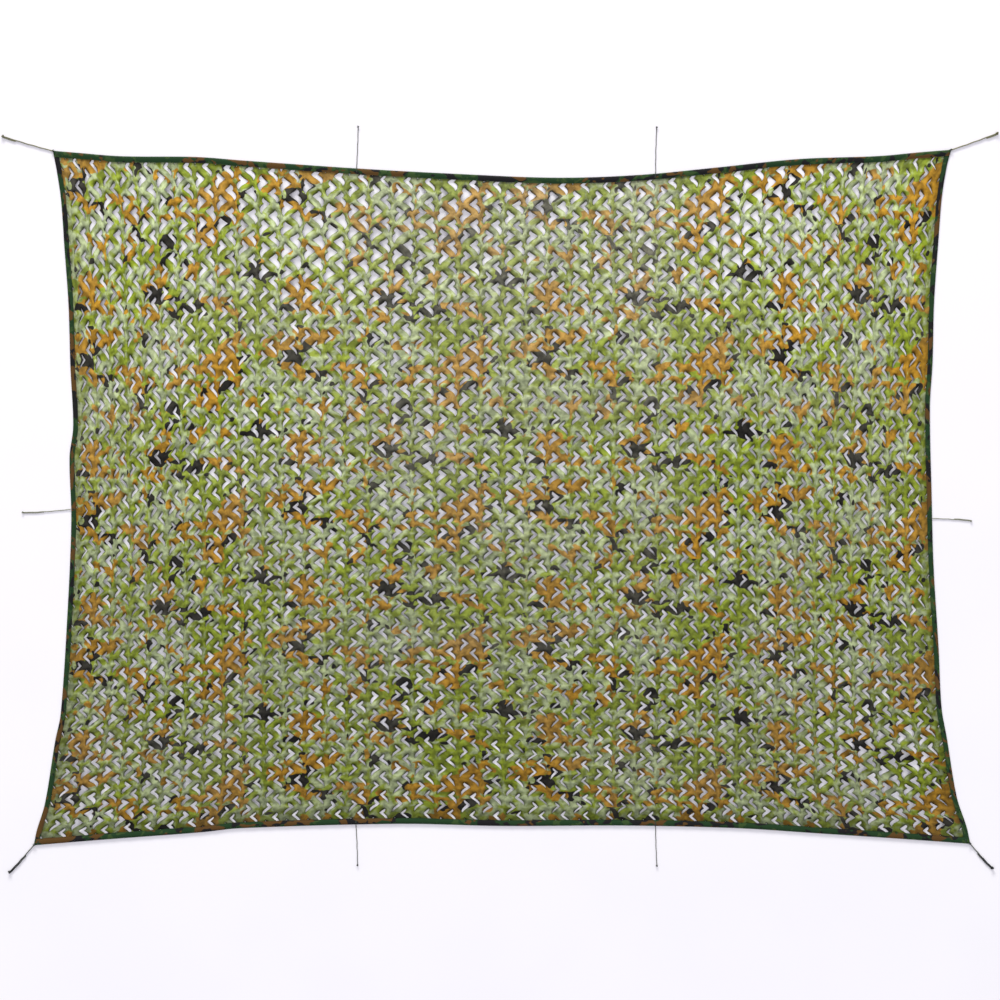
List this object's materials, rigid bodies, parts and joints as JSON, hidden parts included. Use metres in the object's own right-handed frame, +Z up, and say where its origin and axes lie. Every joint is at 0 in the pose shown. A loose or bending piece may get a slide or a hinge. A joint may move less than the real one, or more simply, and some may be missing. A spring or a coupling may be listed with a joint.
{
  "type": "camouflage net",
  "caption": "Slit-cut camouflage net of printed cloth with folded binding tape and tie cords, laid out flat and drawn tight.",
  "frame": {"origin": "on the surface that the net lies on, under the middle of its outline, tie cords not counted", "axes": "+X along the long side, to the right in the picture; +Y towards the top edge in the picture; +Z up from the surface, out of the printed face"},
  "size_m": [4.3437, 3.2555, 0.0126],
  "materials": {
    "printed_cloth": "plain-weave printed polyester cloth, matt, four-colour woodland print",
    "binding_tape": "dark printed woven tape, folded over the edge and stitched",
    "tie_cord": "grey-olive twisted cord, matt"
  },
  "bodies": {
    "root": {"net_cloth": "printed_cloth", "binding_top": "binding_tape", "binding_bottom": "binding_tape", "binding_left": "binding_tape", "binding_right": "binding_tape", "tie_corner_top_left": "tie_cord", "tie_corner_top_right": "tie_cord", "tie_corner_bottom_left": "tie_cord", "tie_corner_bottom_right": "tie_cord", "tie_top_left": "tie_cord", "tie_top_right": "tie_cord", "tie_bottom_left": "tie_cord", "tie_bottom_right": "tie_cord", "tie_left": "tie_cord", "tie_right": "tie_cord"}
  },
  "joints": []
}
